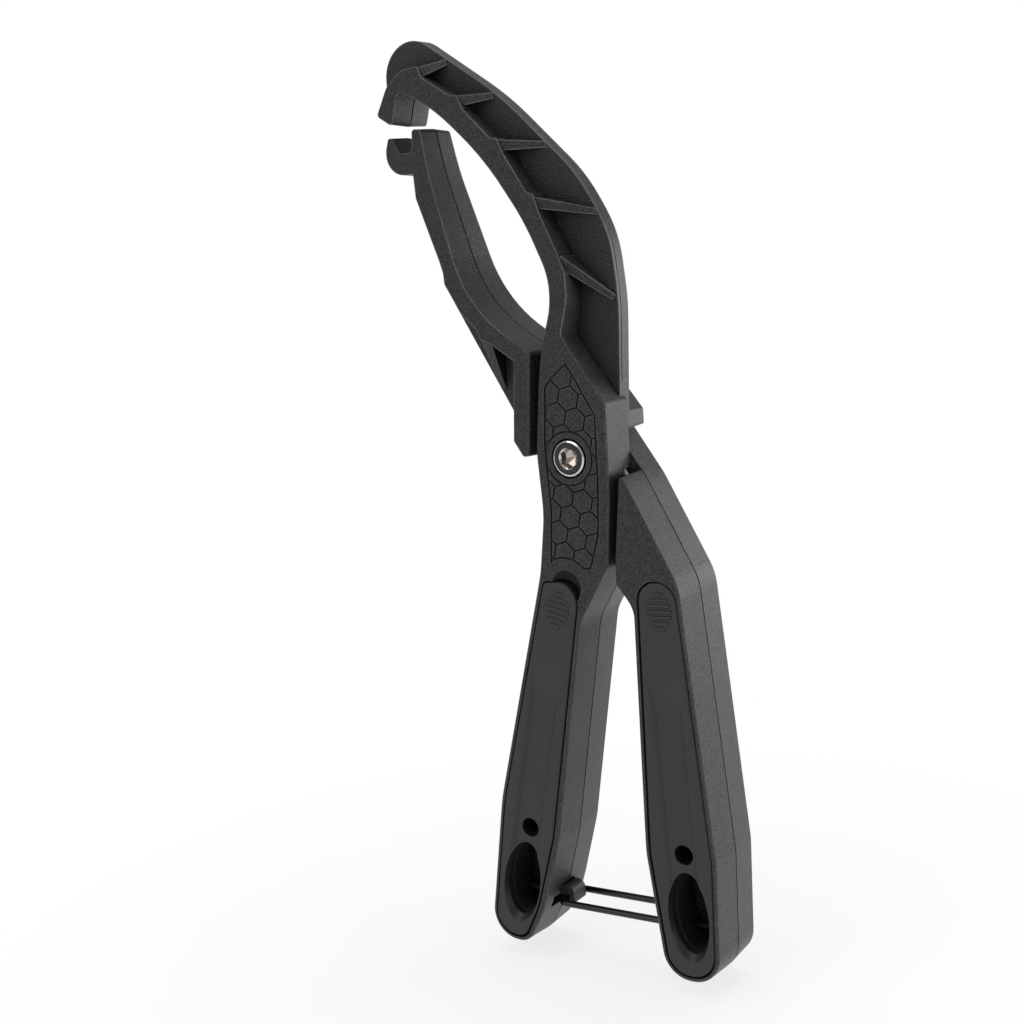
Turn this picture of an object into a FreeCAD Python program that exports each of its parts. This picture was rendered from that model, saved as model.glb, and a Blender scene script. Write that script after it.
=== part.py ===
import FreeCAD, Part
import math
import os

# Tyre bead pliers: two crossing moulded arms on one pivot screw, with a tyre lever clipped
# into the front of each handle and a wire bail that holds the handles together.
#
# Frame, in millimetres: +Z runs up the tool towards the jaws, +X to the right seen from the
# front, +Y from the front faces to the back faces. The origin is on the pivot axis, in the
# plane of the back faces. The pose is the latched one.
#
# The hook arm carries the long jaw and the left handle, and fills the front half of the
# crossing. The lower arm carries the short jaw and the right handle, and fills the back half.

# ---------------------------------------------------------------- driving dimensions
DEPTH = 22.0            # front face to back face
FRONT = -DEPTH
BACK = 0.0
MID = -DEPTH / 2        # parting plane of the mouldings
LAP_GAP = 0.1           # between the two halves of the crossing
HOOK_PLANE = MID - LAP_GAP / 2
LOWER_PLANE = MID + LAP_GAP / 2
DRAFT = 0.5             # a side wall stands out this far more at the parting plane
EDGE = 0.45             # chamfer round the front and back faces
LEVER_EDGE = 0.35
SEAM_WIDTH = 0.4        # parting groove round the outside
SEAM_DEPTH = 0.35
WEB = 5.0               # jaw web thickness
OUTER_LINE = MID - WEB / 2 + 1.2  # plane of the thin line round the long jaw's outer edge
TAPER_START = 28.0      # height where the jaws begin to get thinner
HOOK_TAPER_END = 77.0
HOOK_TIP_HALF = 8.0     # half thickness of the long jaw beyond that height
LOWER_TAPER_END = 94.0
LOWER_TIP_HALF = 7.0

RIM = 1.0               # handle rim left round a tyre lever
LEVER_GAP = 0.4
LEVER_SHIFT = 0.3
LEVER_POCKET = 4.2
LEVER_BELOW_RIM = 0.15
HANG_HOLE_R = 2.9
HANG_WELL_R = 3.6       # hollow in the handle behind a hanging hole
WINDOW_ALONG = -17.2    # finger window's centre, measured along the lever from the hole
WINDOW_HALF_LENGTH = 12.1
WINDOW_HALF_WIDTH = 5.9
SCOOP_GROW = 1.0        # dished rim round the window, deepest towards the lever's end
SCOOP_DEPTH = 1.8
CHANNEL_DEPTH = 0.7
RIDGE_COUNT = 7
RIDGE_SPACING = 1.6
RIDGE_HALF_LENGTH = 3.9
RIDGE_HALF_WIDTH = 0.35
RIDGE_HEIGHT = 0.15
RIDGE_ALONG = 69.2      # middle ridge, measured along the lever from the hole
THUMB_DISH_R = 5.0
THUMB_DISH_DEPTH = 3.6
THUMB_DISH = (-4.0, -36.6)
CORE_WALL = 3.6         # handle wall round the moulded hollow behind a lever
CORE_FLOOR = -3.4
CORE_BAYS = ((7, 22), (24, 39), (41, 56), (58, 66))  # low and high end of each, along the lever

SCREW_R = 2.95
SCREW_HEAD_R = 5.0
SCREW_HEAD_HEIGHT = 6.0
HEAD_PROUD = 0.4
HEAD_CHAMFER = 0.7
KEY_FLATS = 5.0
KEY_DEPTH = 3.0
KEY_CONE_DEPTH = 1.0
COUNTERBORE_R = 5.7
WASHER_R = 5.5
WASHER_THICK = 1.0
SLEEVE_R = 4.0
SLEEVE_BORE_R = 3.1
SLEEVE_CLEARANCE = 0.06
NUT_FLATS = 10.0
NUT_THICK = 5.0
NUT_FRONT = -6.0
NUT_POCKET_GAP = 0.3

SPRING_WIRE_R = 0.7
SPRING_COIL_R = 7.4
SPRING_PITCH = 1.48
SPRING_TURNS = 2.5
SPRING_LEG_ANGLE = 34.9  # where the shown leg leaves the coil, in degrees from +X towards +Z
SPRING_SHOWN_LEG = 12.4  # its end just stands out of the hook arm's right side
SPRING_HIDDEN_LEG = 9.5
SPRING_POCKET_IN = 5.7
SPRING_POCKET_OUT = 8.9
SPRING_POCKET_DEPTH = 2.9

WIRE_R = 1.0            # bail wire
WIRE_BEND = 1.2
BAIL_HALF_WIDTH = 5.7   # from the middle plane to each leg's centre line
BAIL_PIVOT = (19.7, -133.9)
BAIL_BAR = (-17.35, -135.1)
BAIL_PIN_INNER = 1.9
BAIL_HOLE_R = 1.08
TONGUE_HALF = 4.5       # handle wall left between the two bail slots
SLOT_HALF = 6.9
HOOK_HALF = 3.1         # latch hook, between the bail's legs
LATCH_POCKET_X = (-23.0, -10.0)
LATCH_POCKET_Z = (-136.8, -133.1)

GROOVE_WIDTH = 0.6      # engraved honeycomb on the crossing's front
GROOVE_DEPTH = 0.4
CELL_PITCH = 6.25
CELL_TILT = -14.5       # the rows of cells lean with the left handle
CELL_START = (1.1, 16.6)
SCREW_CLEAR_R = 7.2
THUMB_CLEAR_R = 8.3
SMALLEST_CELL = 0.8     # cut-off cells with less area than this stay grooved

# Outlines: (x, z, corner radius) at the front and back faces.
HOOK_INNER = [(-59.5, 98.8, 1.0), (-54.5, 95.6, 0.8), (-51.4, 105.2, 1.8), (-40.5, 100.0, 60),
              (-24.0, 84.3, 90), (-10.5, 65.2, 80), (-1.6, 46.1, 22)]
HOOK_RIDGE = [(2.3, 43.5, 12), (1.9, 50.5, 1), (-0.2, 55.6, 1), (-5.6, 66.8, 1), (-7.4, 71.9, 1),
              (-9.8, 73.0, 1.2), (-16.6, 83.9, 1), (-18.2, 88.0, 1), (-20.6, 88.4, 1.2),
              (-28.9, 97.0, 1), (-30.8, 101.1, 1), (-33.6, 101.5, 1.2), (-42.6, 107.5, 1),
              (-43.6, 110.6, 1), (-49.4, 110.2, 4), (-55.2, 106.2, 4)]
HOOK_ROOT_BACK = [(-5.9, 33.0, 4), (-3.2, 28.6, 1.5), (8.9, 8.1, 1), (11.9, 6.4, 0.6)]
HOOK_WEB_EDGE = [(14.2, 42.0, 60), (12.7, 60.2, 35), (3.9, 76.3, 50), (-19.7, 99.9, 100),
                 (-59.4, 127.9, 9.9)]
LEFT_SIDE = [(-32.8, -103.0, 60), (-40.6, -147.6, 8)]
LEFT_INSIDE = [(-27.0, -147.6, 5.5), (-20.2, -136.0, 40), (-13.2, -112.8, 30), (-0.6, -47.0, 10)]
LOWER_INNER = [(-45.3, 93.4, 1), (-43.2, 81.5, 80), (-31.5, 42.9, 40)]
LOWER_RIDGE = [(-23.9, 32.3, 1.5), (-27.2, 33.6, 1), (-28.6, 36.6, 1.5), (-33.6, 41.2, 3),
               (-38.9, 49.6, 1.5), (-39.3, 53.6, 3), (-43.6, 64.2, 20), (-47.7, 74.5, 3),
               (-48.3, 81.5, 0.5), (-60.2, 81.5, 6.4), (-56.8, 92.0, 0.4), (-55.7, 92.0, 0.3),
               (-53.0, 87.3, 1.8), (-48.1, 87.3, 2.1), (-48.0, 93.7, 0.8)]
LOWER_WEB_EDGE = [(-18.8, 4.7, 0.8), (-43.2, 47.3, 30), (-52.0, 79.0, 2)]
SHOULDER = [(-10.6, 29.3, 1), (-13.3, 0.4, 0.8), (-15.4, 0.3, 0.8), (-18.3, 4.7, 0.8),
            (-16.3, 27.2, 1)]
RIGHT_SHOULDER = (17.5, -7.0, 30)
RIGHT_OUTSIDE = [(31.8, -34.5, 16), (38.3, -111.5, 25)]
RIGHT_INSIDE = [(37.3, -147.8, 9), (20.6, -147.8, 8), (16.2, -111.5, 40)]

LATCH_HOOK = [(-21.0, -130.4, 0.3), (-14.5, -130.9, 2.2), (-14.3, -136.2, 1.0),
              (-16.15, -136.2, 0.4), (-16.15, -133.6, 0.4), (-21.0, -133.6, 0.3)]
BAIL_SLOT = [(12.0, -137.8, 0.3), (21.0, -137.8, 0.5), (21.0, -131.5, 3), (17.2, -112.5, 0.5),
             (12.0, -112.5, 0.3)]

# Jaw ribs: middle of the inner end, middle of the outer end.
HOOK_RIBS = [((-43.3, 109.2), (-37.0, 111.2)), ((-30.2, 99.6), (-21.8, 100.2)),
             ((-17.4, 86.2), (-5.4, 85.2)), ((-6.5, 69.6), (9.4, 65.9)),
             ((1.0, 52.8), (12.9, 42.9))]
LOWER_RIBS = [((-46.6, 77.5), (-50.6, 76.0)), ((-37.8, 51.6), (-42.4, 48.6)),
              ((-26.0, 33.6), (-25.9, 18.8))]
RIB_ROOT = 3.1
RIB_TIP = 1.7
RIB_TIP_PROUD = 0.3     # a front rib still stands this high at the web's edge
RIB_TIP_SUNK = 0.1      # a back rib has run out into the web there
# Room outside the long jaw's flange, round its outer edge.
OUTSIDE_HOOK = [(-70, 116, 0.1), (-40, 108, 0.1), (-10, 80, 0.1), (4, 45, 0.1), (4, 20, 0.1),
                (40, 20, 0.1), (40, 140, 0.1), (-70, 140, 0.1)]

# Tyre levers: the hanging hole, and the middle of the thumb end.
LEFT_HOLE = (-23.5, -110.8)
LEFT_THUMB = (-7.0, -40.0)
RIGHT_HOLE = (28.0, -110.7)
RIGHT_THUMB = (25.3, -38.0)
GRIP_INSIDE = [(-27.0, -147.6, 5.5), (-20.9, -136.0, 40), (-13.6, -112.8, 30), (2.2, -33.9, 7.5)]
LEFT_GRIP = [(-12.6, -33.9, 3.5)] + LEFT_SIDE + GRIP_INSIDE
# The left lever lies nearly against the outer wall of its pocket.
LEFT_LEVER = [(x - LEVER_SHIFT, z, radius) for x, z, radius in LEFT_GRIP]
RIGHT_GRIP = [(31.6, -32.1, 7), (38.2, -111.5, 25)] + RIGHT_INSIDE + [(17.7, -32.1, 7)]
# Shallow channel down a lever, (across, along, corner radius), at its rim and at its floor.
CHANNEL_RIM = [(-5.7, -16.0, 1), (4.3, -16.0, 1), (4.3, 52.0, 3.6), (-5.7, 52.0, 3.6)]
CHANNEL_FLOOR = [(-4.6, -15.0, 1), (3.2, -15.0, 1), (3.2, 44.0, 3), (-4.6, 44.0, 3)]
# Honeycomb panel on the crossing.
PANEL = [(1.3, 26.6, 0.6), (-3.8, 22.6, 2.0), (-6.4, 20.0, 1.0), (-7.9, 3.0, 20), (-7.3, -15.0, 20),
         (-8.8, -31.0, 0.5), (4.8, -31.0, 1), (8.2, -21.0, 10), (9.2, -6.0, 20), (9.6, 12.0, 2)]


# ---------------------------------------------------------------- shape helpers
def point(x, z, y):
    return FreeCAD.Vector(x, y, z)


def loop(corners, y, grow=0.0):
    """Closed outline in the plane y. Every side is moved out by grow, corners are arcs."""
    count = len(corners)
    spots = [FreeCAD.Vector(x, z, 0) for x, z, _ in corners]
    area = sum(a.x * b.y - b.x * a.y for a, b in zip(spots, spots[1:] + spots[:1]))
    turn = 1.0 if area > 0 else -1.0
    ways = [(spots[(i + 1) % count] - spots[i]).normalize() for i in range(count)]
    outs = [FreeCAD.Vector(w.y, -w.x, 0) * turn for w in ways]
    edges, start, first = [], None, None
    for i, (x, z, radius) in enumerate(corners):
        into, away = ways[i - 1], ways[i]
        n1, n2 = outs[i - 1], outs[i]
        corner = spots[i] + (n1 + n2) * (grow / (1 + n1.dot(n2)))
        bend = math.acos(max(-1.0, min(1.0, into.dot(away))))
        convex = (into.x * away.y - into.y * away.x) * turn > 0
        radius = max(radius + (grow if convex else -grow), 0.05)
        reach = radius * math.tan(bend / 2)
        enter, leave = corner - into * reach, corner + away * reach
        inward = (away - into).normalize()
        middle = corner + inward * (radius / math.cos(bend / 2) - radius)
        enter, middle, leave = [point(p.x, p.y, y) for p in (enter, middle, leave)]
        if start is not None:
            edges.append(Part.makeLine(start, enter))
        else:
            first = enter
        edges.append(Part.Arc(enter, middle, leave).toShape())
        start = leave
    edges.append(Part.makeLine(start, first))
    return Part.Wire(edges)


def plate(corners, y0, y1, grow=0.0):
    """Straight-sided plate between two planes."""
    return Part.Face(loop(corners, y0, grow)).extrude(FreeCAD.Vector(0, y1 - y0, 0))


def drafted(corners, wide_y, face_y):
    """Plate whose sides lean in from the parting plane to a chamfered face."""
    edge_y = face_y + math.copysign(EDGE, wide_y - face_y)
    wide, edge, face = loop(corners, wide_y, DRAFT), loop(corners, edge_y), loop(corners, face_y, -EDGE)
    return Part.makeLoft([wide, edge, face], True, True)


def seam(corners, plane, wall=DRAFT):
    """Ring that cuts a thin groove round an outline whose wall stands out by wall in that plane."""
    y0, y1 = plane - SEAM_WIDTH / 2, plane + SEAM_WIDTH / 2
    return plate(corners, y0, y1, wall + 1).cut(plate(corners, y0, y1, wall - SEAM_DEPTH))


def rod(radius, y0, y1, x=0.0, z=0.0):
    """Round bar along Y."""
    return Part.makeCylinder(radius, y1 - y0, FreeCAD.Vector(x, y0, z), FreeCAD.Vector(0, 1, 0))


def hexagon(flats, y0, y1, x=0.0, z=0.0, tilt=0.0):
    """Hexagonal bar along Y with a corner pointing up, turned by tilt."""
    corner_r = flats / math.sqrt(3)
    angles = [math.radians(90 + tilt + 60 * i) for i in range(7)]
    spots = [point(x + corner_r * math.cos(a), z + corner_r * math.sin(a), y0) for a in angles]
    return Part.Face(Part.makePolygon(spots)).extrude(FreeCAD.Vector(0, y1 - y0, 0))


def box(x, y, z):
    """Block between a low and a high value on each axis."""
    return Part.makeBox(x[1] - x[0], y[1] - y[0], z[1] - z[0], FreeCAD.Vector(x[0], y[0], z[0]))


def rib(inner, outer, root_half):
    """Gusset: as deep as the flange at its inner end, almost down to the web at its outer end."""
    root = FreeCAD.Vector(inner[0], MID, inner[1])
    tip = FreeCAD.Vector(outer[0], MID, outer[1])
    along = (tip - root).normalize()
    across = FreeCAD.Vector(along.z, 0, -along.x)
    depth = FreeCAD.Vector(0, 1, 0)
    ends = []
    for centre, width, front, back in (
            (root - along * 1.5, RIB_ROOT, -root_half, root_half),
            (tip, RIB_TIP, -WEB / 2 - RIB_TIP_PROUD, WEB / 2 - RIB_TIP_SUNK)):
        left, right = centre - across * (width / 2), centre + across * (width / 2)
        ends.append(Part.makePolygon([left + depth * front, right + depth * front,
                                      right + depth * back, left + depth * back,
                                      left + depth * front]))
    return Part.makeLoft(ends, True, True)


def taper(end_z, half):
    """Two wedges that thin a jaw evenly on both faces, from TAPER_START up to end_z."""
    wedges = []
    for side in (-1, 1):
        full = DEPTH / 2 + 2
        profile = [(DEPTH / 2, TAPER_START), (half, end_z), (half, 130), (full, 130),
                   (full, TAPER_START), (DEPTH / 2, TAPER_START)]
        spots = [FreeCAD.Vector(-80, MID + side * y, z) for y, z in profile]
        wedges.append(Part.Face(Part.makePolygon(spots)).extrude(FreeCAD.Vector(120, 0, 0)))
    return wedges


def half_at(z, end_z, half):
    """Half thickness of a tapered jaw at height z."""
    share = min(max((z - TAPER_START) / (end_z - TAPER_START), 0), 1)
    return DEPTH / 2 + share * (half - DEPTH / 2)


def lever_corners(corners, hole, thumb):
    """Corners given along a lever, turned into the tool's frame."""
    up = lever_way(hole, thumb)
    return [(hole[0] + up.z * a + up.x * b, hole[1] - up.x * a + up.z * b, r)
            for a, b, r in corners]


def lever_way(hole, thumb):
    """Unit vector up a lever, from its hole to its thumb end."""
    return FreeCAD.Vector(thumb[0] - hole[0], 0, thumb[1] - hole[1]).normalize()


def oval(hole, thumb, along, half_length, half_width, y):
    """Ellipse in the plane y, with its long axis along a lever."""
    way = lever_way(hole, thumb)
    side = FreeCAD.Vector(way.z, 0, -way.x)
    centre = point(hole[0], hole[1], y) + way * along
    curve = Part.Ellipse(centre + way * half_length, centre + side * half_width, centre)
    return Part.Wire(curve.toShape())


# ---------------------------------------------------------------- handle details
def lever_pocket(grip, hole, thumb):
    """Room for a tyre lever, and the moulded hollows behind it."""
    floor = FRONT + LEVER_POCKET
    pocket = plate(grip, FRONT - 1, floor, -RIM)
    core = plate(grip, floor - 0.1, CORE_FLOOR, -CORE_WALL)
    slices = []
    for low, high in CORE_BAYS:
        band = [(-20, low, 0.6), (20, low, 0.6), (20, high, 0.6), (-20, high, 0.6)]
        slices.append(plate(lever_corners(band, hole, thumb), floor - 0.1, CORE_FLOOR))
    core = core.common(slices[0].multiFuse(slices[1:]))
    well_rim = oval(hole, thumb, WINDOW_ALONG, WINDOW_HALF_LENGTH, WINDOW_HALF_WIDTH, floor - 0.1)
    well = Part.Face(well_rim).extrude(FreeCAD.Vector(0, MID + 4 - floor, 0))
    bar = [(-12, -27.0, 0.2), (12, -25.0, 0.2), (12, -24.0, 0.2), (-12, -26.0, 0.2)]
    well = well.cut(plate(lever_corners(bar, hole, thumb), MID + 1, MID + 5))
    hang_well = rod(HANG_WELL_R, floor - 0.1, MID, *hole)
    return pocket.multiFuse([core, well, hang_well])


def tyre_lever(outline, hole, thumb):
    """Flat lever with a hanging hole, a finger window, a long shallow channel and thumb ridges."""
    face = FRONT + LEVER_BELOW_RIM
    floor = FRONT + LEVER_POCKET - 0.05
    inset = RIM + LEVER_GAP
    body = Part.makeLoft([loop(outline, floor, -inset), loop(outline, face + LEVER_EDGE, -inset),
                          loop(outline, face, -inset - LEVER_EDGE)], True, True)
    channel = Part.makeLoft([loop(lever_corners(CHANNEL_RIM, hole, thumb), face),
                             loop(lever_corners(CHANNEL_FLOOR, hole, thumb), face + CHANNEL_DEPTH)],
                            True, True)
    window = oval(hole, thumb, WINDOW_ALONG, WINDOW_HALF_LENGTH, WINDOW_HALF_WIDTH, face - 1)
    window = Part.Face(window).extrude(FreeCAD.Vector(0, floor - face + 2, 0))
    scoop = Part.makeLoft([
        oval(hole, thumb, WINDOW_ALONG - SCOOP_GROW, WINDOW_HALF_LENGTH + SCOOP_GROW,
             WINDOW_HALF_WIDTH + SCOOP_GROW / 2, face),
        oval(hole, thumb, WINDOW_ALONG, WINDOW_HALF_LENGTH, WINDOW_HALF_WIDTH, face + SCOOP_DEPTH),
    ], True, True)
    body = body.cut([channel, window, scoop, rod(HANG_HOLE_R, face - 1, floor + 1, *hole)])
    return body.multiFuse(thumb_ridges(hole, thumb, face)).removeSplitter()


def thumb_ridges(hole, thumb, face):
    """Short cross ridges near the lever's upper end, longest in the middle."""
    ridges = []
    for i in range(RIDGE_COUNT):
        step = i - (RIDGE_COUNT - 1) / 2
        half = RIDGE_HALF_LENGTH * math.cos(math.radians(90) * step / ((RIDGE_COUNT + 1) / 2))
        low = RIDGE_ALONG + step * RIDGE_SPACING - RIDGE_HALF_WIDTH
        high = low + 2 * RIDGE_HALF_WIDTH
        corners = [(-half, low, 0.3), (half, low, 0.3), (half, high, 0.3), (-half, high, 0.3)]
        ridges.append(plate(lever_corners(corners, hole, thumb), face - RIDGE_HEIGHT, face + 0.2))
    return ridges


def tyre_lever_left():
    return tyre_lever(LEFT_LEVER, LEFT_HOLE, LEFT_THUMB)


def tyre_lever_right():
    return tyre_lever(RIGHT_GRIP, RIGHT_HOLE, RIGHT_THUMB)


# ---------------------------------------------------------------- the two arms
def spring_pocket(plane, direction):
    """Ring-shaped pocket in one lap face, round the sleeve's bore."""
    ends = sorted((plane, plane + direction * SPRING_POCKET_DEPTH))
    return rod(SPRING_POCKET_OUT, *ends).cut(rod(SPRING_POCKET_IN, *ends))


def hook_arm():
    front = HOOK_INNER + [(-7.6, 27.0, 60), (-10.8, 1.5, 30), (-10.0, -16.0, 40),
                          (-12.6, -33.0, 40)]
    front += LEFT_SIDE + LEFT_INSIDE
    front += [(10.3, -29.5, 6), (12.3, -8.0, 40), (12.8, 14.8, 2), (-0.1, 34.0, 2)]
    front += HOOK_RIDGE
    jaw_back = HOOK_INNER + HOOK_ROOT_BACK + [(11.9, 11.3, 1.5), (1.6, 25.0, 3)] + HOOK_RIDGE
    handle_back = [(-13.3, -35.6, 2)] + LEFT_SIDE + LEFT_INSIDE
    handle_back += [(6.5, -35.6, 1.5)]
    web = HOOK_INNER + HOOK_ROOT_BACK + HOOK_WEB_EDGE

    arm = drafted(front, HOOK_PLANE, FRONT)
    arm = arm.multiFuse([drafted(jaw_back, HOOK_PLANE, BACK), drafted(handle_back, HOOK_PLANE, BACK)])
    arm = arm.cut(taper(HOOK_TAPER_END, HOOK_TIP_HALF))
    arm = arm.fuse(plate(web, MID - WEB / 2, MID + WEB / 2))
    within = plate(web, FRONT, BACK)
    for inner, outer in HOOK_RIBS:
        depth = half_at(inner[1], HOOK_TAPER_END, HOOK_TIP_HALF) - 0.3
        arm = arm.fuse(rib(inner, outer, depth).common(within))
    outside = plate(OUTSIDE_HOOK, FRONT, BACK)
    arm = arm.cut([seam(web, HOOK_PLANE).cut(outside), seam(web, OUTER_LINE, 0).common(outside)])
    arm = arm.cut(seam(handle_back, HOOK_PLANE))
    arm = arm.cut(lever_pocket(LEFT_GRIP, LEFT_HOLE, LEFT_THUMB))
    arm = arm.cut([thumb_dish(), honeycomb()])
    arm = arm.cut(box(LATCH_POCKET_X, (MID - SLOT_HALF, MID + SLOT_HALF), LATCH_POCKET_Z))
    arm = arm.fuse(latch_hook())
    washer_seat = FRONT - HEAD_PROUD + SCREW_HEAD_HEIGHT + WASHER_THICK
    arm = arm.cut(rod(COUNTERBORE_R, FRONT - 1, washer_seat + 0.05))
    arm = arm.cut(rod(SLEEVE_R + SLEEVE_CLEARANCE, FRONT, MID))
    arm = arm.cut(spring_pocket(HOOK_PLANE, -1))
    arm = arm.cut(plate(spring_leg_groove(SHOWN_LEG), HOOK_PLANE - SPRING_POCKET_DEPTH, HOOK_PLANE))
    return arm.removeSplitter()


def thumb_dish():
    """Ball that presses the round hollow for a thumb above the left lever."""
    ball_r = (THUMB_DISH_R ** 2 + THUMB_DISH_DEPTH ** 2) / (2 * THUMB_DISH_DEPTH)
    x, z = THUMB_DISH
    return Part.makeSphere(ball_r, point(x, z, FRONT + THUMB_DISH_DEPTH - ball_r))


def honeycomb():
    """Thin grooves round hexagonal cells, clear of the screw and of the thumb's hollow."""
    top, bottom = FRONT - 1, FRONT + GROOVE_DEPTH
    areas = []
    for inset in (0.0, GROOVE_WIDTH):
        area = plate(PANEL, top, bottom, -inset)
        areas.append(area.cut([rod(SCREW_CLEAR_R + inset, top, bottom),
                               rod(THUMB_CLEAR_R + inset, top, bottom, *THUMB_DISH)]))
    grooved, inside = areas
    tilt = math.radians(CELL_TILT)
    cells = []
    for row in range(-9, 3):
        for column in range(-6, 7):
            across = (column + row / 2) * CELL_PITCH
            up = row * CELL_PITCH * math.sqrt(3) / 2
            x = CELL_START[0] + across * math.cos(tilt) - up * math.sin(tilt)
            z = CELL_START[1] + across * math.sin(tilt) + up * math.cos(tilt)
            cell = hexagon(CELL_PITCH - GROOVE_WIDTH, top, bottom, x, z, CELL_TILT).common(inside)
            if cell.Volume > SMALLEST_CELL * (bottom - top):
                cells.append(cell)
    return grooved.cut(cells)


def latch_hook():
    """Round-nosed hook on the left handle's inner side that the bail's cross bar sits behind."""
    return plate(LATCH_HOOK, MID - HOOK_HALF, MID + HOOK_HALF)


def lower_arm():
    jaw_front = LOWER_INNER + SHOULDER + LOWER_RIDGE
    handle_front = [(12.3, -34.6, 1), (12.7, -27.0, 10), (15.5, -4.05, 0.6), RIGHT_SHOULDER]
    handle_front += RIGHT_OUTSIDE
    handle_front += RIGHT_INSIDE + [(17.4, -41.5, 8)]
    back = LOWER_INNER + [(-4.1, 25.0, 10), RIGHT_SHOULDER] + RIGHT_OUTSIDE + RIGHT_INSIDE
    back += [(17.4, -41.5, 8), (12.3, -34.6, 1), (3.0, -26.0, 10), (-9.0, -10.0, 6)]
    back += SHOULDER[2:] + LOWER_RIDGE
    web = LOWER_INNER + SHOULDER[:3] + LOWER_WEB_EDGE + [(-49.2, 81.4, 1), (-48.0, 93.7, 0.8)]

    arm = drafted(back, LOWER_PLANE, BACK)
    arm = arm.multiFuse([drafted(jaw_front, LOWER_PLANE, FRONT),
                         drafted(handle_front, LOWER_PLANE, FRONT)])
    arm = arm.cut(taper(LOWER_TAPER_END, LOWER_TIP_HALF))
    arm = arm.fuse(plate(web, MID - WEB / 2, MID + WEB / 2))
    within = plate(web, FRONT, BACK)
    for inner, outer in LOWER_RIBS:
        depth = half_at(inner[1], LOWER_TAPER_END, LOWER_TIP_HALF) - 0.3
        arm = arm.fuse(rib(inner, outer, depth).common(within))
    arm = arm.cut([seam(web, LOWER_PLANE), seam(handle_front, LOWER_PLANE)])
    arm = arm.cut(lever_pocket(RIGHT_GRIP, RIGHT_HOLE, RIGHT_THUMB))
    arm = arm.cut(bail_slots())
    arm = arm.cut(hexagon(NUT_FLATS + NUT_POCKET_GAP, NUT_FRONT - 0.05, BACK + 1))
    arm = arm.cut(rod(SLEEVE_R + SLEEVE_CLEARANCE, MID, BACK))
    arm = arm.cut(spring_pocket(LOWER_PLANE, 1))
    arm = arm.cut(plate(spring_leg_groove(HIDDEN_LEG), LOWER_PLANE, LOWER_PLANE + SPRING_POCKET_DEPTH))
    return arm.removeSplitter()


def bail_slots():
    """Two slots that the bail's legs swing in, and the hole its bent ends turn in."""
    return [plate(BAIL_SLOT, MID + TONGUE_HALF, MID + SLOT_HALF),
            plate(BAIL_SLOT, MID - SLOT_HALF, MID - TONGUE_HALF),
            rod(BAIL_HOLE_R, MID - TONGUE_HALF - 0.5, MID + TONGUE_HALF + 0.5, *BAIL_PIVOT)]


# ---------------------------------------------------------------- pivot hardware
def pivot_screw():
    """Socket head cap screw: chamfered head, hexagonal socket with a drilled cone at its bottom."""
    head_front = FRONT - HEAD_PROUD
    head_back = head_front + SCREW_HEAD_HEIGHT
    socket_floor = head_front + KEY_DEPTH
    along = FreeCAD.Vector(0, 1, 0)
    rim = Part.makeCone(SCREW_HEAD_R - HEAD_CHAMFER, SCREW_HEAD_R, HEAD_CHAMFER / 2,
                        point(0, 0, head_front), along)
    head = rim.fuse(rod(SCREW_HEAD_R, head_front + HEAD_CHAMFER / 2, head_back))
    lead_in_r = KEY_FLATS / math.sqrt(3) + 0.25
    lead_in = Part.makeCone(lead_in_r, lead_in_r - 0.6, 0.6, point(0, 0, head_front), along)
    cone = Part.makeCone(KEY_FLATS / 2, 0, KEY_CONE_DEPTH, point(0, 0, socket_floor), along)
    head = head.cut([hexagon(KEY_FLATS, head_front - 1, socket_floor), lead_in, cone])
    shank = rod(SCREW_R, head_back, NUT_FRONT + NUT_THICK + 0.4)
    return head.fuse(shank).removeSplitter()


def pivot_washer():
    seat = FRONT - HEAD_PROUD + SCREW_HEAD_HEIGHT
    return rod(WASHER_R, seat, seat + WASHER_THICK).cut(rod(SCREW_R + 0.25, seat, seat + WASHER_THICK))


def pivot_sleeve():
    start = FRONT - HEAD_PROUD + SCREW_HEAD_HEIGHT + WASHER_THICK
    return rod(SLEEVE_R, start, NUT_FRONT).cut(rod(SLEEVE_BORE_R, start, NUT_FRONT))


def pivot_nut():
    nut = hexagon(NUT_FLATS, NUT_FRONT, NUT_FRONT + NUT_THICK)
    return nut.cut(rod(SCREW_R + 0.05, NUT_FRONT, NUT_FRONT + NUT_THICK))


# ---------------------------------------------------------------- return spring
def spring_leg(angle, direction, length):
    """Start and end (x, z) of a straight leg that leaves the coil along its tangent."""
    turn = math.radians(angle)
    x, z = SPRING_COIL_R * math.cos(turn), SPRING_COIL_R * math.sin(turn)
    reach = direction * length
    return (x, z), (x + math.sin(turn) * reach, z - math.cos(turn) * reach)


HIDDEN_LEG_ANGLE = SPRING_LEG_ANGLE + 360 * SPRING_TURNS
SHOWN_LEG = spring_leg(SPRING_LEG_ANGLE, 1, SPRING_SHOWN_LEG)
HIDDEN_LEG = spring_leg(HIDDEN_LEG_ANGLE, -1, SPRING_HIDDEN_LEG)


def spring_leg_groove(leg):
    """Outline of the straight groove that a spring leg lies in."""
    (x0, z0), (x1, z1) = leg
    length = math.hypot(x1 - x0, z1 - z0)
    ux, uz = (x1 - x0) / length, (z1 - z0) / length
    half = SPRING_WIRE_R + 0.2
    ends = ((0, -half), (0, half), (length + 1, half), (length + 1, -half))
    return [(x0 + ux * a - uz * b, z0 + uz * a + ux * b, 0.2) for a, b in ends]


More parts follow.
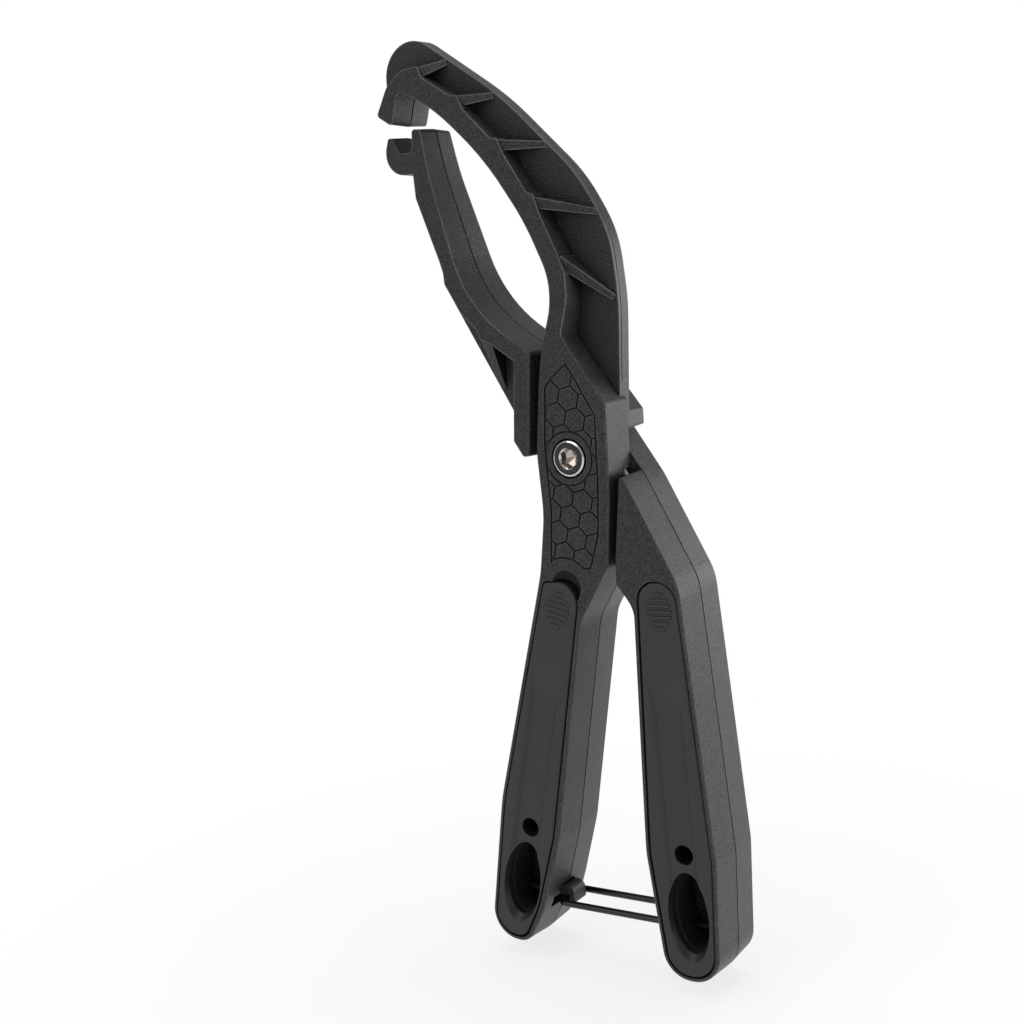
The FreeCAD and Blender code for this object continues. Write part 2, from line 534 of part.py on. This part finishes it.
def return_spring():
    """Torsion spring round the sleeve, with one straight leg in each arm's groove."""
    height = SPRING_PITCH * SPRING_TURNS
    coil = Part.makeHelix(SPRING_PITCH, height, SPRING_COIL_R)
    coil.rotate(FreeCAD.Vector(), FreeCAD.Vector(1, 0, 0), -90)
    coil.rotate(FreeCAD.Vector(), FreeCAD.Vector(0, 1, 0), -HIDDEN_LEG_ANGLE)
    coil.translate(FreeCAD.Vector(0, MID - height / 2, 0))
    turns = coil.Edges[0]
    hidden, shown = turns.valueAt(turns.FirstParameter), turns.valueAt(turns.LastParameter)
    hidden_way = turns.tangentAt(turns.FirstParameter)
    shown_way = turns.tangentAt(turns.LastParameter)
    hidden_tip = hidden - hidden_way * SPRING_HIDDEN_LEG
    shown_tip = shown + shown_way * SPRING_SHOWN_LEG
    wire = Part.Wire([Part.makeLine(hidden_tip, hidden), turns, Part.makeLine(shown, shown_tip)])
    sweep = Part.BRepOffsetAPI.MakePipeShell(wire)
    sweep.setBiNormalMode(FreeCAD.Vector(0, 1, 0))
    sweep.add(Part.Wire(Part.makeCircle(SPRING_WIRE_R, hidden_tip, hidden_way)), False, False)
    sweep.build()
    sweep.makeSolid()
    # The sweep runs front to back; the real coil is its mirror image in the parting plane.
    return sweep.shape().mirror(point(0, 0, MID), FreeCAD.Vector(0, 1, 0))


# ---------------------------------------------------------------- wire bail
def wire_bail():
    """U of round wire: two bent-in ends in the right handle, two legs and a cross bar."""
    px, pz = BAIL_PIVOT
    bx, bz = BAIL_BAR
    w = BAIL_HALF_WIDTH
    corners = [point(px, pz, MID - BAIL_PIN_INNER), point(px, pz, MID - w), point(bx, bz, MID - w),
               point(bx, bz, MID + w), point(px, pz, MID + w), point(px, pz, MID + BAIL_PIN_INNER)]
    edges, start = [], corners[0]
    for before, corner, after in zip(corners, corners[1:], corners[2:]):
        into = (corner - before).normalize()
        away = (after - corner).normalize()
        enter, leave = corner - into * WIRE_BEND, corner + away * WIRE_BEND
        middle = corner + (away - into).normalize() * (WIRE_BEND * (math.sqrt(2) - 1))
        edges += [Part.makeLine(start, enter), Part.Arc(enter, middle, leave).toShape()]
        start = leave
    edges.append(Part.makeLine(start, corners[-1]))
    section = Part.Wire(Part.makeCircle(WIRE_R, corners[0], FreeCAD.Vector(0, 1, 0)))
    return Part.Wire(edges).makePipeShell([section], True, True)


PIECES = {
    "hook_arm": hook_arm,
    "lower_arm": lower_arm,
    "tyre_lever_left": tyre_lever_left,
    "tyre_lever_right": tyre_lever_right,
    "pivot_screw": pivot_screw,
    "pivot_washer": pivot_washer,
    "pivot_sleeve": pivot_sleeve,
    "pivot_nut": pivot_nut,
    "return_spring": return_spring,
    "wire_bail": wire_bail,
}

os.makedirs("parts", exist_ok=True)
for name, make in PIECES.items():
    make().Solids[0].exportStep(f"parts/{name}.step")
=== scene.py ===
import math

import bpy
from mathutils import Matrix, Vector


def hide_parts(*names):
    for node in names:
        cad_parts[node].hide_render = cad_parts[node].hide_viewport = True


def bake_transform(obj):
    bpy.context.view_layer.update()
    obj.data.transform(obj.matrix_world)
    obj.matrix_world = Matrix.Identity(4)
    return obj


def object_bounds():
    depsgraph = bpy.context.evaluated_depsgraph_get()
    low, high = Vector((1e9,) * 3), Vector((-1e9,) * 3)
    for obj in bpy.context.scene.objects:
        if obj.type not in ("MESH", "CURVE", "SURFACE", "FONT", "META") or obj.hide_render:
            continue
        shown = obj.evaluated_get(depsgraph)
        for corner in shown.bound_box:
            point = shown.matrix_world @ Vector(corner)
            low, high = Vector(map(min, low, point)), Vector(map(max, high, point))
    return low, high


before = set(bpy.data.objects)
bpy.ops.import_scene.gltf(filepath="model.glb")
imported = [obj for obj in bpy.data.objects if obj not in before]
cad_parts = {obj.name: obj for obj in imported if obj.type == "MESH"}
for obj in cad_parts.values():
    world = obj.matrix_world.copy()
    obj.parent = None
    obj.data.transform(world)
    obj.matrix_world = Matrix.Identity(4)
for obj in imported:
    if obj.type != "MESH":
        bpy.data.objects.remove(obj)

cad_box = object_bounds()

MM = 0.001
WORLD_LIGHT = 0.40       # light from all round, against the white the camera sees
SEAM_Y = -11.0 * MM      # parting plane of the mouldings
GRAIN_SCALE = 2300.0     # noise scales: the higher, the finer
DUST_SCALE = 420.0
TARNISH_SCALE = 260.0
BLOTCH_SCALE = 45.0
GRAIN_DEPTH = 0.8 * MM
STREAK_DEPTH = 0.04 * MM
POCKET_REACH = 7 * MM    # how far from a wall the corners and pockets get painted shade
LINE_REACH = 0.5 * MM    # the same painted shade for thin grooves and the feet of small ridges
SEAM_CLEAR = (0.7 * MM, 1.2 * MM)   # edges get the painted highlight only this far from the seam
LOW_JAW_EDGE = (24 * MM, 36 * MM)   # and less painted highlight below this height
TURNING_PITCH = 0.22 * MM           # between the turned rings on the screw's head
HEAD_Y = (-15.0 * MM, -14.5 * MM)   # the head's painted reflection and shade stop behind this
FLOOR_SIZE = 6.0
FLOOR_DROP = 4 * MM
CAMERA_LENS = 52.46      # solved from the photo with the three vectors below
CAMERA_SPOT = Vector((0.22452, -0.36171, 0.05339))
CAMERA_RIGHT = Vector((0.8159, 0.5729, -0.0776))
CAMERA_UP = Vector((-0.0309, 0.1773, 0.9837))
SOFTBOXES = (            # name, place seen from the tool's middle, edge length, power
    ("right", (0.6, 0.1, -0.02), 0.4, 2),
    ("back_right", (0.5, 0.85, 0.1), 0.4, 2),
    ("front", (-0.35, -0.9, 0.5), 0.7, 3),
    ("top", (0.0, 0.1, 0.9), 0.8, 4),
)


# ---------------------------------------------------------------- node helpers
class Nodes:
    """Short way to add shader nodes to one material."""

    def __init__(self, name):
        self.material = bpy.data.materials.new(name)
        self.material.use_nodes = True
        self.tree = self.material.node_tree
        self.surface = self.tree.nodes["Principled BSDF"]

    def add(self, kind, **values):
        node = self.tree.nodes.new(kind)
        for key, value in values.items():
            if hasattr(node, key):
                setattr(node, key, value)
            else:
                node.inputs[key.replace("_", " ")].default_value = value
        return node

    def link(self, source, target):
        self.tree.links.new(source, target)


def noise(nodes, place, scale, detail=2.0, roughness=0.5):
    node = nodes.add("ShaderNodeTexNoise", Scale=scale, Detail=detail, Roughness=roughness)
    nodes.link(place, node.inputs["Vector"])
    return node.outputs["Fac"]


def ramp(nodes, fac, low, high, out_low, out_high):
    node = nodes.add("ShaderNodeMapRange")
    for name, value in (("From Min", low), ("From Max", high),
                        ("To Min", out_low), ("To Max", out_high)):
        node.inputs[name].default_value = value
    nodes.link(fac, node.inputs["Value"])
    return node.outputs["Result"]


def math_node(nodes, operation, first, second):
    node = nodes.add("ShaderNodeMath", operation=operation)
    for socket, value in zip(node.inputs, (first, second)):
        if isinstance(value, float):
            socket.default_value = value
        else:
            nodes.link(value, socket)
    return node.outputs[0]


def split_xyz(nodes, vector):
    node = nodes.add("ShaderNodeSeparateXYZ")
    nodes.link(vector, node.inputs[0])
    return node.outputs


def length(nodes, vector):
    node = nodes.add("ShaderNodeVectorMath", operation="LENGTH")
    nodes.link(vector, node.inputs[0])
    return node.outputs["Value"]


def facing_y(nodes):
    """How squarely a surface looks to the front or back, 0 to 1."""
    normal = split_xyz(nodes, nodes.add("ShaderNodeNewGeometry").outputs["Normal"])
    return math_node(nodes, "ABSOLUTE", normal["Y"], 0.0)


def nearness(nodes, distance, inside):
    """How open the space round a spot is, 0 to 1: outside it for corners, inside it for edges."""
    node = nodes.add("ShaderNodeAmbientOcclusion", samples=6, inside=inside, only_local=True,
                     Distance=distance)
    return node.outputs["AO"]


def grey(shade, warmth=1.02):
    return shade, shade, shade * warmth, 1.0


def multiply(nodes, colour, factor):
    """A colour made lighter or darker by one number."""
    scale = nodes.add("ShaderNodeVectorMath", operation="SCALE")
    nodes.link(colour, scale.inputs[0])
    nodes.link(factor, scale.inputs["Scale"])
    return scale.outputs[0]


def blend(nodes, fac, first, second):
    node = nodes.add("ShaderNodeMix", data_type="RGBA")
    nodes.link(fac, node.inputs[0])
    for socket, value in zip((node.inputs[6], node.inputs[7]), (first, second)):
        if isinstance(value, tuple):
            socket.default_value = value
        else:
            nodes.link(value, socket)
    return node.outputs[2]


def moulded(name, shade, painted_lit_wall_shade, rough, wall_rough, grain, edge, edge_highlight_shade,
            wall_groove_shade=0.0, face_groove_shade=0.0):
    """Black moulded plastic: spark grain on faces square to Y, smoother walls, painted edge
    highlights.

    Walls are painted a little lighter than faces, and pockets get painted shade.
    wall_groove_shade and face_groove_shade say how strongly grooves get painted shade
    on the walls and the faces.
    """
    n = Nodes(name)
    place = n.add("ShaderNodeTexCoord").outputs["Object"]
    square = ramp(n, facing_y(n), 0.75, 0.97, 0.0, 1.0)
    pits = noise(n, place, GRAIN_SCALE, 2.0, 0.6)
    blotch = noise(n, place, BLOTCH_SCALE, 4.0, 0.55)
    dust = noise(n, place, DUST_SCALE, 2.0, 0.5)
    spot = split_xyz(n, place)
    from_seam = math_node(n, "ABSOLUTE", math_node(n, "SUBTRACT", spot["Y"], SEAM_Y), 0.0)
    # painted shade in thin grooves and at the feet of small ridges, set apart for walls and faces
    groove_shade = ramp(n, nearness(n, LINE_REACH, False), 0.95, 0.55, 0.0, 1.0)
    groove_shade = math_node(n, "MULTIPLY", groove_shade, ramp(n, square, 0.0, 0.5, wall_groove_shade, face_groove_shade))
    # painted highlight along convex edges, kept off the seam and weaker lower down
    edge_highlight_mask = ramp(n, nearness(n, edge, True), 0.88, 0.6, 0.0, 1.0)
    edge_highlight_mask = math_node(n, "MULTIPLY", edge_highlight_mask, ramp(n, from_seam, *SEAM_CLEAR, 0.0, 1.0))
    edge_highlight_mask = math_node(n, "MULTIPLY", edge_highlight_mask, ramp(n, spot["Z"], *LOW_JAW_EDGE, 0.3, 1.0))
    openness = nearness(n, POCKET_REACH, False)
    soft_normal = n.add("ShaderNodeBevel", samples=6, Radius=edge).outputs[0]

    bump = n.add("ShaderNodeBump", Distance=GRAIN_DEPTH)
    n.link(pits, bump.inputs["Height"])
    n.link(ramp(n, square, 0.0, 1.0, grain * 0.18, grain), bump.inputs["Strength"])
    n.link(soft_normal, bump.inputs["Normal"])
    n.link(bump.outputs[0], n.surface.inputs["Normal"])

    # walls painted a little lighter than the faces, standing in for the light they catch
    base = blend(n, square, grey(painted_lit_wall_shade), grey(shade))
    base = multiply(n, base, ramp(n, pits, 0.4, 0.6, 1.0 - 0.8 * grain, 1.0 + 0.8 * grain))
    # painted shade: darker in pockets and corners
    base = multiply(n, base, ramp(n, openness, 0.35, 0.9, 0.45, 1.0))
    base = multiply(n, base, ramp(n, blotch, 0.3, 0.7, 0.88, 1.12))
    # painted edge highlight, varied by the blotches
    edge_highlight = math_node(n, "MULTIPLY", edge_highlight_mask, ramp(n, blotch, 0.35, 0.65, 0.35, 0.9))
    base = blend(n, edge_highlight, base, grey(edge_highlight_shade))
    base = blend(n, ramp(n, dust, 0.72, 0.8, 0.0, 0.25), base, grey(0.16))
    # grooves painted nearly black as shade
    n.link(blend(n, groove_shade, base, grey(0.001)), n.surface.inputs["Base Color"])

    gloss = ramp(n, square, 0.0, 1.0, wall_rough, rough)
    gloss = math_node(n, "ADD", gloss, ramp(n, blotch, 0.3, 0.7, -0.04, 0.05))
    gloss = math_node(n, "SUBTRACT", gloss, math_node(n, "MULTIPLY", edge_highlight_mask, 0.15))
    n.link(gloss, n.surface.inputs["Roughness"])
    # less specular in pockets and grooves, a painted stand-in for shade
    shine = math_node(n, "SUBTRACT", ramp(n, openness, 0.3, 0.8, 0.25, 0.42), groove_shade)
    n.link(math_node(n, "MAXIMUM", shine, 0.0), n.surface.inputs["Specular IOR Level"])
    return n.material


def bright_steel(name, shade, rough, scale):
    """Bright steel with fine machining streaks and a little tarnish."""
    n = Nodes(name)
    place = n.add("ShaderNodeTexCoord").outputs["Object"]
    streak = noise(n, place, scale, 3.0, 0.6)
    tarnish = noise(n, place, TARNISH_SCALE, 4.0, 0.6)
    n.surface.inputs["Metallic"].default_value = 1.0
    tint = blend(n, ramp(n, tarnish, 0.35, 0.6, 0.0, 1.0),
                 grey(shade * 0.8, 0.98), grey(shade, 1.0))
    n.link(ramp(n, streak, 0.3, 0.7, rough - 0.06, rough + 0.1), n.surface.inputs["Roughness"])
    bump = n.add("ShaderNodeBump", Distance=STREAK_DEPTH, Strength=0.35)
    n.link(streak, bump.inputs["Height"])
    n.link(n.add("ShaderNodeBevel", samples=6, Radius=0.25 * MM).outputs[0], bump.inputs["Normal"])
    n.link(bump.outputs[0], n.surface.inputs["Normal"])
    n.link(tint, n.surface.inputs["Base Color"])
    return n, tint


def screw_steel():
    """The screw's steel: the annulus round the socket is darker and has fine turned rings.

    The annulus's darkness is painted, standing in for its darker reflection, and the
    socket floor has a painted warm reflection.
    """
    n, tint = bright_steel("screw_steel", 0.62, 0.16, 900.0)
    spot = split_xyz(n, n.add("ShaderNodeTexCoord").outputs["Object"])
    flat = n.add("ShaderNodeCombineXYZ")
    n.link(spot["X"], flat.inputs["X"])
    n.link(spot["Z"], flat.inputs["Z"])
    radius = length(n, flat.outputs[0])
    rings = math_node(n, "SINE", math_node(n, "MULTIPLY", radius, math.tau / TURNING_PITCH), 0.0)
    turned = blend(n, ramp(n, rings, -1.0, 1.0, 0.0, 1.0), grey(0.025, 1.0), grey(0.06, 1.0))
    shade = (0.42, 0.37, 0.34, 1.0)   # socket floor with a painted warm reflection, then what follows it outwards, in mm
    for fade_from, fade_to, beyond in ((2.5, 2.8, tint), (3.0, 3.1, turned),
                                       (4.2, 4.3, grey(0.01)), (4.45, 4.55, tint)):
        share = ramp(n, radius, fade_from * MM, fade_to * MM, 0.0, 1.0)
        shade = blend(n, share, shade, beyond)
    on_head = ramp(n, spot["Y"], *HEAD_Y, 1.0, 0.0)
    n.link(blend(n, on_head, tint, shade), n.surface.inputs["Base Color"])
    return n.material


ARM = moulded("arm_plastic", shade=0.02, painted_lit_wall_shade=0.026, rough=0.5, wall_rough=0.38,
              grain=1.0, edge=0.4 * MM, edge_highlight_shade=0.26, wall_groove_shade=0.9)
LEVER = moulded("lever_plastic", shade=0.016, painted_lit_wall_shade=0.018, rough=0.42, wall_rough=0.38,
                grain=0.12, edge=0.4 * MM, edge_highlight_shade=0.04, face_groove_shade=0.8)
WIRE = moulded("bail_wire", shade=0.005, painted_lit_wall_shade=0.005, rough=0.22, wall_rough=0.22,
               grain=0.1, edge=0.2 * MM, edge_highlight_shade=0.02)
SCREW = screw_steel()
SPRING = bright_steel("spring_steel", 0.5, 0.3, 1500.0)[0].material

LOOKS = {"hook_arm": ARM, "lower_arm": ARM, "tyre_lever_left": LEVER, "tyre_lever_right": LEVER,
         "pivot_screw": SCREW, "pivot_washer": SCREW, "pivot_sleeve": SCREW, "pivot_nut": SCREW,
         "return_spring": SPRING, "wire_bail": WIRE}
for name, look in LOOKS.items():
    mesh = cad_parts[name].data
    mesh.materials.clear()
    mesh.materials.append(look)


# ---------------------------------------------------------------- return spring
def twisting_spring():
    """The spring as an object of its own: a copy of the CAD node, which is hidden."""
    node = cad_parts["return_spring"]
    made = bpy.data.objects.new("twisting_spring", node.data.copy())
    made.matrix_world = node.matrix_world
    bpy.context.scene.collection.objects.link(made)
    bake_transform(made)
    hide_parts("return_spring")


twisting_spring()


# ---------------------------------------------------------------- stage, light and camera
def floor_look():
    """Pale paper under the tool, mostly glowing so its shadow stays faint, that glows fully
    and turns into the white backdrop further out.
    """
    n = Nodes("floor_paper")
    n.surface.inputs["Base Color"].default_value = grey(0.93, 1.0)
    n.surface.inputs["Roughness"].default_value = 0.85
    place = n.add("ShaderNodeTexCoord").outputs["Object"]
    glow = n.add("ShaderNodeEmission", Strength=1.0)
    glow_share = n.add("ShaderNodeMixShader")
    n.link(ramp(n, length(n, place), 0.05, 0.2, 0.75, 1.0), glow_share.inputs[0])
    n.link(n.surface.outputs[0], glow_share.inputs[1])
    n.link(glow.outputs[0], glow_share.inputs[2])
    n.link(glow_share.outputs[0], n.tree.nodes["Material Output"].inputs["Surface"])
    return n.material


def sheet(name, centre, size, look):
    mesh = bpy.data.meshes.new(name)
    half = size / 2
    spots = [(-half, -half, 0), (half, -half, 0), (half, half, 0), (-half, half, 0)]
    mesh.from_pydata(spots, [], [(0, 1, 2, 3)])
    mesh.materials.append(look)
    made = bpy.data.objects.new(name, mesh)
    made.location = centre
    bpy.context.scene.collection.objects.link(made)


def softbox(name, spot, target, edge, power):
    light = bpy.data.lights.new(name, "AREA")
    light.shape = "RECTANGLE"
    light.size, light.size_y, light.energy = edge, edge, power
    made = bpy.data.objects.new(name, light)
    made.location = spot
    made.rotation_euler = (target - spot).to_track_quat("-Z", "Y").to_euler()
    bpy.context.scene.collection.objects.link(made)


low, high = cad_box
middle = (low + high) / 2
sheet("floor", (middle.x, middle.y, low.z - FLOOR_DROP), FLOOR_SIZE, floor_look())

# The camera sees a white backdrop, but less light than that falls on the tool from all round.
world = bpy.data.worlds.new("studio")
world.use_nodes = True
sky = world.node_tree
backdrop = sky.nodes["Background"]
backdrop.inputs["Color"].default_value = (1.0, 1.0, 1.0, 1)
seen = sky.nodes.new("ShaderNodeLightPath")
level = sky.nodes.new("ShaderNodeMapRange")
level.inputs["To Min"].default_value = WORLD_LIGHT
level.inputs["To Max"].default_value = 1.0
sky.links.new(seen.outputs["Is Camera Ray"], level.inputs["Value"])
sky.links.new(level.outputs["Result"], backdrop.inputs["Strength"])
bpy.context.scene.world = world
bpy.context.scene.view_settings.view_transform = "Standard"

for name, offset, edge, power in SOFTBOXES:
    softbox(name, middle + Vector(offset), middle, edge, power)

camera_data = bpy.data.cameras.new("camera")
camera_data.lens = CAMERA_LENS
camera_data.clip_start = 0.01
camera = bpy.data.objects.new("camera", camera_data)
turn = Matrix((CAMERA_RIGHT, CAMERA_UP, CAMERA_RIGHT.cross(CAMERA_UP))).transposed()
camera.matrix_world = Matrix.Translation(CAMERA_SPOT) @ turn.to_4x4()
bpy.context.scene.collection.objects.link(camera)
bpy.context.scene.camera = camera
